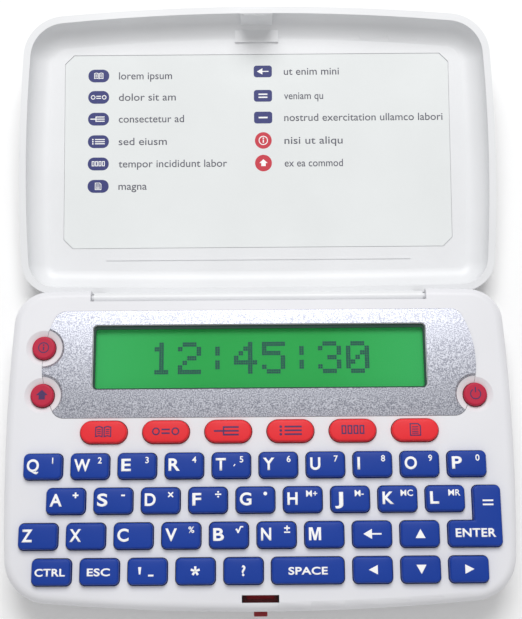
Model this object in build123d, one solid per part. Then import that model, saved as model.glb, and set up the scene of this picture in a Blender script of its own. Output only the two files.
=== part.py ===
from build123d import *
from math import radians, tan
import os

# Pocket electronic dictionary: a keyboard base with a screen and a hinged lid.
#
# All sizes are in millimetres. X runs to the right, Y to the back, Z up. The
# origin lies under the middle of the base, and the part's feet stand on Z = 0.
# The lid is drawn shut and then turned open about its hinge, which is how the
# part rests.

# --- keys: the case is built round them ---------------------------------------
key_columns = 10
key_pitch = 12.51
key_width = 10.3
key_depth = 6.85
key_corner_radius = 1.4
key_edge_radius = 0.55
key_draft = 4.0
key_rise = 2.0           # key tops above the deck
key_clearance = 0.2      # all round each key in its hole
flange_reach = 0.45      # how far a key's flange runs under the deck
flange_thickness = 0.8
flange_gap = 0.1         # between a flange and the deck above it
row_pitch = 9.15
first_row = -5.55        # Y of the top letter row
row_shifts = (-1.255, 5.095, -1.905, 1.895)  # each row's place against a centred row
space_centre = 12.4
space_width = 19.0
last_keys_start = 29.3
enter_overhang = 0.95    # the enter key reaches this far past the key field
enter_arm_width = 7.4
enter_foot_width = 14.2

pill_row_gap = 9.1       # from the top letter row to the row of pills
pill_pitch = 16.67
pill_width = 12.6
pill_depth = 6.1
pill_rise = 1.5

button_radius = 3.15
button_rise = 0.6
button_inset = 0.3       # from the bezel's side to the middle of a left button
power_inset = 0.5
info_back = 19.35        # from the bezel's front to the middle of each button
shift_back = 6.25
power_back = 5.7
dish_radius = 5.1
dish_depth = 1.5

# --- base casing: outline at deck height, seen from above -------------------
case_side_margin = 5.75  # from the key field to the case's widest point
case_front_margin = 6.925
case_rear_margin = 6.7   # from the bezel to the case's rear
side_bow = 1.6           # how far the sides draw in from middle to sharp corner
front_bow = 3.4
rear_bow = 0.8
front_corner_radius = 12.0
rear_corner_radius = 9.5
relief_height = 11.5     # below this the rear wall leans forward to clear the open lid
relief_angle = 16.5      # degrees

foot_height = 0.4        # the case stands this far clear of the table
foot_half_width = 4.0
foot_seat = 0.5          # how deep a foot is let into the case
foot_front_inset = (13.3, 10.35)  # from the case's side and front to a foot's middle
foot_rear_inset = (18.3, 13.8)
deck_height = 15.0       # height of the key deck above the table
parting_height = 6.0     # where the upper and lower shells meet
wall = 1.8
floor_thickness = 2.0
deck_thickness = 2.0
deck_edge_radius = 2.4
foot_edge_radius = 2.6
parting_groove = 0.35    # shadow line round the joint of the two shells
lip_height = 1.0         # tongue that locates one shell in the other
lip_clearance = 0.1

# --- lid ---------------------------------------------------------------------
lid_side_inset = 0.4     # the lid is this much narrower than the deck
lid_gap = 0.2            # between the shut lid's rim and the deck
lid_rise = 7.8           # from the rim to the lid's outer face
lid_depth = 6.3          # hollow inside the lid
lid_wall = 1.9
lid_edge_radius = 3.0
lid_cove_radius = 5.6    # the wide cove beside the hinge
lid_bond = 0.3           # how far what stands in the lid is rooted in its floor
lid_open_angle = 172.0

# --- hinge --------------------------------------------------------------------
hinge_inset = 2.25       # from the case's rear to the hinge axis
hinge_below_deck = 3.3
hinge_ahead = 1.2        # the lid's rear rim stands this far in front of the axis
barrel_radius = 1.5
barrel_half_length = 45.6
web_half_length = 43.4
hinge_end_gap = 0.7
barrel_clearance = 0.15
pin_radius = 0.9
pin_length = 3.4
pin_clearance = 0.06
knuckle_length = 4.6
hinge_wall = 1.4         # wall between the notch and the inside

# --- catch and latch ----------------------------------------------------------
tab_half_width = 4.6
tab_inset = 2.5          # from the case's front to the tab
tab_thickness = 1.3
tab_reach = 5.0          # how far the tab hangs below the lid's rim
tab_window_half_width = 3.9
slot_side_gap = 0.26
slot_end_gap = 0.25
slot_back_gap = 0.39     # wider behind the tab, which swings in on an arc
catch_pad_half_width = 6.3
catch_pad_inset = 8.55   # from the case's front to the back of the pad
catch_pad_height = 0.6
latch_travel = 1.2
latch_end_radius = 0.3
latch_drop = 0.7         # from the tab down to the latch
latch_end_gap = 0.3      # between the tab and the latch, in front and behind
latch_nose_rise = 0.85   # from the tab's end up to the nose
hook_thickness = 1.05
latch_proud = 1.25       # how far the button stands out in front of the case
latch_tip_half_width = 1.775
latch_thickness = 1.8
latch_clearance = 0.15
latch_nose_height = 0.9
latch_nose_bite = 0.65
latch_nose_gap = 0.1     # between the nose and the tab's window
latch_arm_length = 3.2
latch_arm_thickness = 0.5
latch_stop = 1.0         # thickness of the ribs and stops round the latch
post_spacing = 1.4       # from the button's side to the rib beside it
post_gap = 0.1           # between the ribs and the latch that rides over them

# --- screen ---------------------------------------------------------------------
bezel_gap = 0.9          # between the pills and the bezel
bezel_depth = 29.6
bezel_side_margin = 9.4  # from the case's widest point to the bezel's
bezel_bulge = 4.3        # how far its sides swell out
bezel_corner_radius = 3.5
bezel_recess = 0.6       # how deep the bezel is let into the deck
bezel_edge_rise = 0.15
bezel_crown_rise = 0.6
bezel_clearance = 0.1
bezel_pad_depth = 1.6    # the bezel is this deep where a dish runs into it
screen_shift = 0.2       # the screen sits this far right of the middle
screen_back = 16.65      # from the bezel's front to the middle of the screen
screen_side_margin = 9.2
screen_depth = 17.85
screen_corner_radius = 1.2
screen_ledge = 0.5       # ledge that the window sits on
screen_ledge_thickness = 0.4
window_thickness = 0.6
window_clearance = 0.1
module_side_margin = 3.1  # how far the display runs on under the frame
module_end_margin = 3.575
module_gap = 0.1         # above and below the display
backlight_corner_radius = 0.8
glass_corner_radius = 0.5
glass_thickness = 1.1
glass_margin = 1.5

# --- inside ----------------------------------------------------------------------
board_height = 8.0       # underside of the circuit board
board_thickness = 1.2
board_clearance = 0.5
membrane_thickness = 0.7
dome_base_radius = 2.5
dome_top_radius = 1.5
dome_margin = 0.8        # mat round the foot of a dome
dome_gap = 0.1
screw_front_inset = (5.9, 11.85)  # from the case's side and front to a screw
screw_rear_inset = (9.8, 9.3)
screw_radius = 0.8
screw_head_radius = 1.5
screw_head_thickness = 1.2
screw_clearance = 0.2
pilot_clearance = 0.05
screw_end_gap = 0.3      # between a screw's end and the bottom of its hole
screw_slot = (1.6, 0.4, 0.6)  # length, width and depth of each slot of the cross
screw_head_depth = 2.2   # from the underside to the seat of the head
screw_bite = 2.2         # how far the screw reaches into the upper boss
boss_radius = 2.1
blob_place = (30.0, 5.0)  # the chip under its drop of resin
blob_radius = 6.0
blob_height = 1.5

# --- battery bay ------------------------------------------------------------------
cell_diameter = 20.0
cell_thickness = 3.2
cell_step = 0.3
cell_shoulder = 1.6
cell_clearance = 0.4
cell_row = 3.0           # Y of the cells
cell_spacing = 2.0       # between the two cells
first_cell_inset = 20.3  # from the case's side to the middle of the outer cell
bay_wall = 1.2
door_lower_thickness = 0.95
door_upper_thickness = 0.9
door_clearance = 0.1
door_flange = 1.3
door_lip = 1.0           # guide lip that keeps the door up against the case
grip_ribs = 5            # grooves across the door for a fingertip
grip_pitch = 1.6
grip_width = 0.7
grip_depth = 0.25
grip_inset = 3.0
grip_margin = 4.0
contact_thickness = 0.2
contact_width = 3.0
contact_run = (4.0, 1.0, 4.0, 6.0)  # pad, bend, foot of the slope and toe, along X
contact_gap = 0.05
cell_gap = 0.1           # between the cells and the door below them

# --- guide card -------------------------------------------------------------------
card_side_margin = 12.4  # from the case's widest point to the card
card_front_margin = 12.2
card_rear_margin = 15.7  # from the hinge axis to the card
card_corner = 2.6
card_thickness = 0.35
card_recess = 0.4
card_clearance = 0.15
rib_inset = 12.55        # from the hinge axis to the fine rib
rib_half_length = 43.7
rib_width = 0.5
rib_height = 0.25

# --- places worked out from the sizes above ----------------------------------------
key_field_half = key_columns / 2 * key_pitch
last_row = first_row - 3 * row_pitch
pill_row = first_row + pill_row_gap
enter_right = key_field_half + enter_overhang
case_half_width = key_field_half + case_side_margin
case_front = last_row - key_depth / 2 - case_front_margin
bezel_front = pill_row + pill_depth / 2 + bezel_gap
bezel_rear = bezel_front + bezel_depth
bezel_half_width = case_half_width - bezel_side_margin
bezel_end_half_width = bezel_half_width - bezel_bulge
case_rear = bezel_rear + case_rear_margin
hinge_back = case_rear - hinge_inset
screen_centre = (screen_shift, bezel_front + screen_back)
screen_width = 2 * (bezel_end_half_width - screen_side_margin)
module_width = screen_width + 2 * module_side_margin
module_depth = screen_depth + 2 * module_end_margin
button_places = {
    "button_info": (button_inset - bezel_half_width, bezel_front + info_back),
    "button_shift": (button_inset - bezel_half_width, bezel_front + shift_back),
    "button_power": (bezel_half_width - power_inset, bezel_front + power_back),
}
tab_front = case_front + tab_inset
catch_pad_back = case_front + catch_pad_inset
first_cell = first_cell_inset - case_half_width
card_half_width = case_half_width - card_side_margin
card_front = case_front + card_front_margin
card_rear = hinge_back - card_rear_margin
rib_line = hinge_back - rib_inset

# --- heights worked out from the sizes above ---------------------------------------
deck_underside = deck_height - deck_thickness
flange_top = deck_underside - flange_gap
flange_bottom = flange_top - flange_thickness
board_top = board_height + board_thickness
membrane_top = board_top + membrane_thickness
dome_top = flange_bottom - dome_gap
hinge_height = deck_height - hinge_below_deck
rim_height = deck_height + lid_gap
lid_top = rim_height + lid_rise
lid_floor = rim_height + lid_depth
tab_bottom = rim_height - tab_reach
tab_back = tab_front + tab_thickness
latch_bottom = tab_bottom - latch_drop - latch_thickness
latch_top = latch_bottom + latch_thickness
latch_nose_bottom = tab_bottom + latch_nose_rise
hook_front = tab_back + latch_end_gap
recess_height = deck_height - bezel_recess
ledge_top = deck_underside + screen_ledge_thickness
module_top = deck_underside - module_gap
door_top = door_lower_thickness + door_clearance + door_upper_thickness
bay_top = parting_height
second_cell = first_cell + cell_diameter + cell_spacing
beyond = 200.0           # longer than anything in the part
bond = 0.5               # how far two forms run into each other where they are joined


# --- helpers -----------------------------------------------------------------------
def slab(low, high):
    """A box between two opposite corners."""
    size = [b - a for a, b in zip(low, high)]
    middle = [(a + b) / 2 for a, b in zip(low, high)]
    return Pos(*middle) * Box(*size)


def corner_places(front_inset, rear_inset):
    """Four places near the case's corners, each pair inset from its side and end."""
    places = []
    for (side, end), y in ((front_inset, case_front), (rear_inset, case_rear)):
        middle_ward = 1 if y < 0 else -1
        x = case_half_width - side
        places += [(-x, y + middle_ward * end), (x, y + middle_ward * end)]
    return places


def rod(place, radius, low, high):
    """An upright cylinder between two heights."""
    return Pos(place[0], place[1], (low + high) / 2) * Cylinder(radius, high - low)


def raised(sketch, low, high):
    """A sketch made solid between two heights."""
    return extrude(Pos(0, 0, low) * sketch, amount=high - low)


def bar(profile, half_length):
    """A profile of Y and Z points, run along X to both sides."""
    face = make_face(Polyline(*[(0, y, z) for y, z in profile], close=True))
    return extrude(face, amount=half_length, dir=(1, 0, 0), both=True)


def bowed_outline(half_width, front, rear, front_radius, rear_radius):
    """The casing's outline: four shallow arcs with rounded corners."""
    corner = half_width - side_bow
    front_corner = front + front_bow
    rear_corner = rear - rear_bow
    middle = (front + rear) / 2
    arcs = [
        ThreePointArc((-corner, front_corner), (0, front), (corner, front_corner)),
        ThreePointArc((corner, front_corner), (half_width, middle), (corner, rear_corner)),
        ThreePointArc((corner, rear_corner), (0, rear), (-corner, rear_corner)),
        ThreePointArc((-corner, rear_corner), (-half_width, middle), (-corner, front_corner)),
    ]
    face = Sketch() + make_face(arcs)
    rows = face.vertices().group_by(Axis.Y)
    face = fillet(rows[0], front_radius)
    rows = face.vertices().sort_by(Axis.Y)
    return fillet(rows[-2:], rear_radius)


def rear_relief(inset):
    """The wedge behind the leaning lower half of the rear wall."""
    back = case_rear - inset
    drop = 2 * deck_height
    forward = drop * tan(radians(relief_angle))
    low = relief_height - drop
    wedge = (
        (back, relief_height),
        (back - forward, low),
        (back + beyond, low),
        (back + beyond, relief_height),
    )
    return bar(wedge, beyond)


def upright_block(inset, low, high):
    """The base's outline made solid between two heights, its walls upright all round."""
    outline = bowed_outline(
        case_half_width - inset,
        case_front + inset,
        case_rear - inset,
        front_corner_radius - inset,
        rear_corner_radius - inset,
    )
    return raised(outline, low, high)


def case_block(inset, low, high):
    """The base's form between two heights, with the leaning rear wall."""
    return upright_block(inset, low, high) - rear_relief(inset)


def lid_outline(inset):
    """The lid's outline at its rim, drawn in all round by an inset."""
    return bowed_outline(
        case_half_width - lid_side_inset - inset,
        case_front + inset,
        hinge_back - hinge_ahead - inset,
        front_corner_radius - inset,
        rear_corner_radius - inset,
    )


def opened(shape):
    """A shape of the shut lid, turned to where the lid rests open."""
    to_axis = Pos(0, hinge_back, hinge_height)
    return to_axis * Rot(-lid_open_angle, 0, 0) * to_axis.inverse() * shape


# --- keys -------------------------------------------------------------------------------
def key_plan():
    """Kind, X and Y of every key and button by name."""
    rows = (
        ("q", "w", "e", "r", "t", "y", "u", "i", "o", "p"),
        ("a", "s", "d", "f", "g", "h", "j", "k", "l"),
        ("z", "x", "c", "v", "b", "n", "m", "back", "up"),
        ("ctrl", "esc", "quote", "star", "question"),
    )
    plan = {}
    for number, (row, shift) in enumerate(zip(rows, row_shifts)):
        start = shift - (key_columns - 1) / 2 * key_pitch
        y = first_row - number * row_pitch
        for i, name in enumerate(row):
            plan[f"key_{name}"] = ("letter", start + i * key_pitch, y)
    plan["key_space"] = ("space", space_centre, last_row)
    for i, name in enumerate(("left", "down", "right")):
        plan[f"key_{name}"] = ("letter", last_keys_start + i * key_pitch, last_row)
    plan["key_enter"] = ("enter", 0, 0)
    for i, name in enumerate(("book", "words", "verbs", "list", "index", "page")):
        plan[f"pill_{name}"] = ("pill", (i - 2.5) * pill_pitch, pill_row)
    for name, place in button_places.items():
        plan[name] = ("button", *place)
    return plan


def rounded(x, y, width, depth, radius, grow=0.0):
    """A rounded rectangle, grown or shrunk all round."""
    return Pos(x, y) * RectangleRounded(width + 2 * grow, depth + 2 * grow, radius + grow)


def enter_sketches(grow=0.0):
    """The L-shaped key: a wide foot in the third row and an arm up beside the second."""
    foot_front = first_row - 2 * row_pitch - key_depth / 2
    sketches = []
    for width, depth in ((enter_foot_width, key_depth), (enter_arm_width, key_depth + row_pitch)):
        x = enter_right - width / 2
        y = foot_front + depth / 2
        sketches.append(rounded(x, y, width, depth, key_corner_radius, grow))
    return sketches


def key_outlines(grow=0.0):
    """The outline of each kind of key about its own centre, grown all round."""
    return {
        "letter": [rounded(0, 0, key_width, key_depth, key_corner_radius, grow)],
        "space": [rounded(0, 0, space_width, key_depth, key_corner_radius, grow)],
        "enter": enter_sketches(grow),
        "pill": [SlotOverall(pill_width + 2 * grow, pill_depth + 2 * grow)],
        "button": [Circle(button_radius + grow)],
    }


def keycap(outlines, flanges, rise, draft):
    """A key with a softened top edge and a flange that keeps it under the deck."""
    crown = Part()
    for outline in outlines:
        crown += extrude(Pos(0, 0, deck_height) * outline, amount=rise, taper=draft)
    crown = fillet(crown.faces().sort_by(Axis.Z)[-1].edges(), key_edge_radius)
    stem = [raised(outline, flange_bottom, deck_height) for outline in outlines]
    flange = [raised(outline, flange_bottom, flange_top) for outline in flanges]
    return crown + stem + flange


def make_keys():
    """Every key and button by node name: each kind is modelled once and copied."""
    outlines = key_outlines()
    flanges = key_outlines(flange_reach)
    rises = {"pill": pill_rise, "button": button_rise}
    drafts = {"button": 0.0}
    caps = {}
    for kind in outlines:
        rise = rises.get(kind, key_rise)
        draft = drafts.get(kind, key_draft)
        caps[kind] = keycap(outlines[kind], flanges[kind], rise, draft)
    return {name: Pos(x, y) * caps[kind] for name, (kind, x, y) in key_plan().items()}


def key_holes():
    """The deck's holes for all keys, as one sketch."""
    outlines = key_outlines(key_clearance)
    holes = []
    for kind, x, y in key_plan().values():
        holes += [Pos(x, y) * outline for outline in outlines[kind]]
    return Sketch() + holes


def dome_places():
    """Where a rubber dome stands: under every key, and two under the space bar."""
    places = [(x, y) for kind, x, y in key_plan().values() if kind not in ("space", "enter")]
    places += [(space_centre + side * space_width / 4, last_row) for side in (-1, 1)]
    return places + [(enter_right - enter_arm_width / 2, first_row - 2 * row_pitch)]


# --- screen ------------------------------------------------------------------------------
def bezel_outline(grow=0.0):
    """The bezel from above: straight front and rear, bulging sides."""
    front = bezel_front - grow
    rear = bezel_rear + grow
    end = bezel_end_half_width + grow
    bulge = bezel_half_width + grow
    middle = (front + rear) / 2
    lines = [
        Line((-end, front), (end, front)),
        ThreePointArc((end, front), (bulge, middle), (end, rear)),
        Line((end, rear), (-end, rear)),
        ThreePointArc((-end, rear), (-bulge, middle), (-end, front)),
    ]
    face = Sketch() + make_face(lines)
    return fillet(face.vertices(), bezel_corner_radius + grow)


def screen_sketch(grow=0.0):
    """The screen opening, grown or shrunk all round."""
    return rounded(*screen_centre, screen_width, screen_depth, screen_corner_radius, grow)


def dish_ball(place):
    """The ball that hollows out the dish round a round button."""
    rim = deck_height + bezel_edge_rise
    ball_radius = (dish_radius**2 + dish_depth**2) / (2 * dish_depth)
    return Pos(*place, rim - dish_depth + ball_radius) * Sphere(ball_radius)


def dish_pads(grow=0.0):
    """The parts of the bezel that reach into the dishes, as one sketch."""
    radius = dish_radius + bezel_clearance + grow
    circles = Sketch() + [Pos(*place) * Circle(radius) for place in button_places.values()]
    return circles & bezel_outline(grow)


def make_bezel():
    """The silver frame round the screen: crowned, with a share of each dish."""
    edge = deck_height + bezel_edge_rise
    crown = deck_height + bezel_crown_rise
    middle = (bezel_front + bezel_rear) / 2
    section = [
        Line((0, bezel_front, recess_height), (0, bezel_rear, recess_height)),
        Line((0, bezel_rear, recess_height), (0, bezel_rear, edge)),
        ThreePointArc((0, bezel_rear, edge), (0, middle, crown), (0, bezel_front, edge)),
        Line((0, bezel_front, edge), (0, bezel_front, recess_height)),
    ]
    plate = extrude(make_face(section), amount=beyond, dir=(1, 0, 0), both=True)
    plate &= raised(bezel_outline(), recess_height, deck_height + 2)
    bezel = plate + raised(dish_pads(), deck_height - bezel_pad_depth, recess_height)
    bezel -= raised(screen_sketch(bezel_clearance), 0, deck_height + 2)
    for place in button_places.values():
        bezel -= dish_ball(place)
        bezel -= rod(place, button_radius + key_clearance, 0, deck_height + 2)
    return bezel


def make_window():
    """The clear window, let into the screen opening from above."""
    return raised(screen_sketch(-window_clearance), ledge_top, ledge_top + window_thickness)


def make_module():
    """The display: its glass on top of the backlight."""
    seat = module_top - glass_thickness
    x, y = screen_centre
    outline = rounded(x, y, module_width, module_depth, backlight_corner_radius)
    backlight = raised(outline, board_top + module_gap, seat)
    width = module_width - 2 * glass_margin
    depth = module_depth - glass_margin
    glass = raised(rounded(x, y, width, depth, glass_corner_radius), seat, module_top)
    return Compound(children=[backlight, glass])


# --- base shells ---------------------------------------------------------------------------
def case_form():
    """The whole base as one solid, its edges softened."""
    form = upright_block(0, foot_height, deck_height)
    form = fillet(form.faces().sort_by(Axis.Z)[-1].edges(), deck_edge_radius)
    form = fillet(form.faces().sort_by(Axis.Z)[0].edges(), foot_edge_radius)
    return form - rear_relief(0)


def bay_ends():
    """Inner faces of the battery bay: low X, high X, low Y and high Y."""
    reach = cell_diameter / 2 + cell_clearance
    return first_cell - reach, second_cell + reach, cell_row - reach, cell_row + reach


def door_form(grow, top):
    """The battery door's space: a plate with a wider flange above it."""
    _, right, front, rear = bay_ends()
    high = door_lower_thickness + grow
    lower = slab((-beyond, front - grow, -1), (right + grow, rear + grow, high))
    flange = door_flange + grow
    low = door_lower_thickness + door_clearance - grow
    upper = slab((-beyond, front - flange, low), (right + flange, rear + flange, top))
    return lower + upper


def battery_bay():
    """Walls round the coin cells, and the lips that the door slides under."""
    left, right, front, rear = bay_ends()
    edge = door_flange + door_clearance
    low = floor_thickness
    outer_front = front - edge - bay_wall
    outer_rear = rear + edge + bay_wall
    outer_left = left - bay_wall
    outer_right = right + edge + bay_wall
    walls = slab((outer_left, outer_front, low), (outer_right, outer_front + bay_wall, bay_top))
    walls += slab((outer_left, outer_rear - bay_wall, low), (outer_right, outer_rear, bay_top))
    walls += slab((outer_right - bay_wall, outer_front, low), (outer_right, outer_rear, bay_top))
    lip_low = door_top + door_clearance
    walls += slab((outer_left, outer_front, lip_low), (left, outer_rear, bay_top))
    middle = (first_cell + second_cell) / 2
    half_rib = 0.5
    walls += slab((middle - half_rib, outer_front, lip_low), (middle + half_rib, outer_rear, bay_top))
    for y, side in ((outer_front + bay_wall, 1), (outer_rear - bay_wall, -1)):
        near, far = sorted((y, y + side * door_lip))
        walls += slab((outer_left, near, lip_low), (outer_right, far, lip_low + 0.8))
    return walls


def latch_posts():
    """Two ribs on the floor that carry the latch, and two stops behind its arms."""
    posts = Part()
    post_half = latch_stop / 2
    low = floor_thickness - bond
    for side in (-1, 1):
        x = side * (latch_tip_half_width + post_spacing)
        high = latch_bottom - post_gap
        posts += slab((x - post_half, tab_front, low), (x + post_half, hook_front, high))
        x = side * (tab_half_width + latch_arm_length - latch_stop)
        back = hook_front + hook_thickness + latch_travel + latch_clearance
        posts += slab((x - post_half, back, low), (x + post_half, back + latch_stop, latch_top))
    return posts


def make_bottom_case():
    """The lower shell on its five feet: floor, walls, screw posts and battery bay."""
    shell = case_form() & slab((-beyond, -beyond, 0), (beyond, beyond, parting_height))
    lip_top = parting_height + lip_height - lip_clearance
    shell += case_block(wall / 2 + lip_clearance, parting_height - 1, lip_top)
    shell -= case_block(wall, floor_thickness, parting_height + 3)
    notch = barrel_half_length + hinge_end_gap + knuckle_length + 1
    shell -= slab((-notch, notch_front() - wall, parting_height), (notch, beyond, deck_height))
    latch = tab_half_width + latch_arm_length
    shell -= slab((-latch, -beyond, parting_height), (latch, 0, deck_height))
    shell += [battery_bay(), latch_posts()]
    for place in corner_places(screw_front_inset, screw_rear_inset):
        shell += rod(place, boss_radius, floor_thickness - bond, board_height)
        shell -= rod(place, screw_radius + screw_clearance, 0, board_height + 1)
        shell -= rod(place, screw_head_radius + screw_clearance, -1, screw_head_depth)
    shell -= door_form(door_clearance, door_top + door_clearance)
    feet = make_feet()
    shell -= feet
    return Compound(children=[shell, *feet])


def foot_places():
    """One foot near each corner, and one in the middle."""
    return [*corner_places(foot_front_inset, foot_rear_inset), (0, 0)]


def make_feet():
    """Square rubber feet, let into the underside."""
    feet = []
    for x, y in foot_places():
        low = (x - foot_half_width, y - foot_half_width, 0)
        high = (x + foot_half_width, y + foot_half_width, foot_height + foot_seat)
        feet.append(slab(low, high))
    return feet


def notch_front():
    """Y of the notch's front wall, just ahead of the hinge barrel."""
    return hinge_back - barrel_radius - barrel_clearance


def hinge_notch():
    """The opening in the base's rear that the lid's hinge web swings in."""
    half = barrel_half_length + hinge_end_gap
    return slab((-half, notch_front(), parting_height - 1), (half, beyond, deck_height + 1))


def hinge_walls():
    """The wall that closes the case ahead of the notch, and a knuckle at each end."""
    inner = barrel_half_length + hinge_end_gap
    outer = inner + knuckle_length
    front = notch_front() - hinge_wall
    low = hinge_height - barrel_radius - 1.2
    body = slab((-inner - 1, front, parting_height), (inner + 1, hinge_back, deck_underside + bond))
    for side in (-1, 1):
        near, far = sorted((side * inner, side * outer))
        body += slab((near, front, low), (far, case_rear, deck_underside + bond))
    return body & case_block(wall - 0.5, parting_height, deck_height)


def pin_holes():
    """Blind sockets in the knuckles for the lid's hinge pins."""
    length = barrel_half_length + pin_length + 0.4
    radius = pin_radius + pin_clearance
    return Pos(0, hinge_back, hinge_height) * Rot(0, 90, 0) * Cylinder(radius, 2 * length)


def latch_slot():
    """The slot in the deck that the lid's tab drops through."""
    half = tab_half_width + slot_side_gap
    low = (-half, tab_front - slot_end_gap, latch_top)
    high = (half, tab_back + slot_back_gap, deck_height + 1)
    return slab(low, high)


def latch_hole():
    """The hole in the front wall that the latch's button comes through."""
    half = latch_tip_half_width + latch_clearance
    low = (-half, -beyond, latch_bottom - latch_clearance)
    return slab(low, (half, tab_front + 3, latch_top + latch_clearance))


def deck_openings():
    """Everything that is cut through the deck or let into it."""
    above = deck_height + 1
    cuts = [
        raised(key_holes(), deck_underside - 1, above),
        raised(bezel_outline(bezel_clearance), recess_height, above),
        raised(dish_pads(bezel_clearance), deck_height - bezel_pad_depth - bezel_clearance, above),
        raised(screen_sketch(), ledge_top, above),
        raised(screen_sketch(-screen_ledge), deck_underside - 1, above),
        latch_slot(),
    ]
    return cuts + [dish_ball(place) for place in button_places.values()]


def make_top_case():
    """The upper shell: the deck with its openings, and what hangs below it."""
    shell = case_form() & slab((-beyond, -beyond, parting_height), (beyond, beyond, deck_height + 1))
    shell -= case_block(wall, parting_height - 1, deck_underside)
    shell -= case_block(wall / 2, parting_height - 1, parting_height + lip_height)
    groove = slab((-beyond, -beyond, 0), (beyond, beyond, parting_height + parting_groove))
    shell -= groove - case_block(parting_groove, 0, deck_height)
    shell += hinge_walls()
    for place in corner_places(screw_front_inset, screw_rear_inset):
        shell += rod(place, boss_radius, board_top, deck_underside + bond)
        shell -= rod(place, screw_radius + pilot_clearance, 0, board_top + screw_bite)
    return shell - deck_openings() - [latch_hole(), hinge_notch(), pin_holes()]


def make_door():
    """The battery door: part of the case's floor and left wall, with grip ribs."""
    left, right, front, rear = bay_ends()
    lower = slab((-beyond, front, -1), (right, rear, door_lower_thickness))
    low = door_lower_thickness + door_clearance
    reach = door_flange
    upper = slab((-beyond, front - reach, low), (right + reach, rear + reach, door_top))
    joint = slab((-beyond, front, 0), (right, rear, door_top))
    door = (lower + upper + joint) & case_form()
    for i in range(grip_ribs):
        x = left - grip_inset + i * grip_pitch
        high = foot_height + grip_depth
        door -= slab((x, front + grip_margin, -1), (x + grip_width, rear - grip_margin, high))
    return door


def make_cells():
    """Two coin cells, each with the stepped face of its smaller pole."""
    low = door_top + cell_gap
    high = low + cell_thickness
    cells = []
    for x in (first_cell, second_cell):
        cell = rod((x, cell_row), cell_diameter / 2, low, high - cell_step)
        cells.append(cell + rod((x, cell_row), cell_diameter / 2 - cell_shoulder, low, high))
    return Compound(children=cells)


def make_screws():
    """Four screws, driven up from the underside."""
    length, width, depth = screw_slot
    blade = Box(length, width, 2 * depth)
    head_low = screw_head_depth - screw_head_thickness
    screws = []
    for place in corner_places(screw_front_inset, screw_rear_inset):
        screw = rod(place, screw_head_radius, head_low, screw_head_depth)
        screw += rod(place, screw_radius, head_low, board_top + screw_bite - screw_end_gap)
        for turn in (0, 90):
            screw -= Pos(*place, head_low) * Rot(0, 0, turn) * blade
        screws.append(screw)
    return Compound(children=screws)


# --- electronics -----------------------------------------------------------------------------
def make_board():
    """The circuit board, a chip under a resin blob, and the cells' spring contacts."""
    board = case_block(wall + board_clearance, board_height, board_top)
    notch = barrel_half_length + hinge_end_gap + knuckle_length + board_clearance
    front = notch_front() - hinge_wall - board_clearance
    board -= slab((-notch, front, 0), (notch, beyond, deck_height))
    arm = tab_half_width + latch_arm_length + board_clearance
    back = hook_front + hook_thickness + latch_travel + latch_stop + 2 * latch_clearance
    board -= slab((-arm, -beyond, 0), (arm, back, deck_height))
    for place in corner_places(screw_front_inset, screw_rear_inset):
        board -= rod(place, screw_radius + screw_clearance, 0, deck_height)
    ball_radius = (blob_radius**2 + blob_height**2) / (2 * blob_height)
    blob = Pos(*blob_place, board_height - blob_height + ball_radius) * Sphere(ball_radius)
    blob &= slab((-beyond, -beyond, 0), (beyond, beyond, board_height))
    cell_top = door_top + cell_gap + cell_thickness
    contacts = [spring_contact(x, cell_top + contact_gap) for x in (first_cell, second_cell)]
    return Compound(children=[board, blob, *contacts])


def spring_contact(x, low):
    """A bent leaf from the board's underside down to the top of a cell."""
    high = board_height
    t = contact_thickness
    pad, bend, run, toe = contact_run
    profile = (
        (x - pad, high - t),
        (x - pad, high),
        (x + bend, high),
        (x + bend, high - t),
        (x - bend, high - t),
        (x + run, low + t),
        (x + toe, low + t),
        (x + toe, low),
        (x + run, low),
        (x - bend - 2 * t, high - t),
    )
    face = make_face(Polyline(*[(px, cell_row, pz) for px, pz in profile], close=True))
    return extrude(face, amount=contact_width / 2, dir=(0, 1, 0), both=True)


def make_membrane():
    """The rubber mat with a dome under every key."""
    front = last_row - dome_base_radius - dome_margin
    left = button_places["button_info"][0] - dome_base_radius - 2 * dome_margin
    keys_rear = pill_row + dome_base_radius + dome_margin
    tabs_rear = button_places["button_info"][1] + dome_base_radius + dome_margin
    tab_inner = screen_centre[0] + module_width / 2 + 2 * board_clearance
    field = Pos(0, (front + keys_rear) / 2) * Rectangle(beyond, keys_rear - front)
    sheet = field
    for side in (-1, 1):
        x = side * (tab_inner - left) / 2
        tab = Rectangle(-left - tab_inner, tabs_rear - keys_rear + 1)
        sheet += Pos(x, (keys_rear + tabs_rear) / 2) * tab
    mat = raised(sheet, board_top, membrane_top)
    mat &= case_block(wall + 2 * board_clearance, board_height, deck_underside)
    for place in corner_places(screw_front_inset, screw_rear_inset):
        mat -= rod(place, boss_radius + board_clearance, 0, deck_height)
    height = dome_top - membrane_top
    dome = Cone(dome_base_radius, dome_top_radius, height)
    return mat + [Pos(x, y, membrane_top + height / 2) * dome for x, y in dome_places()]


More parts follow.
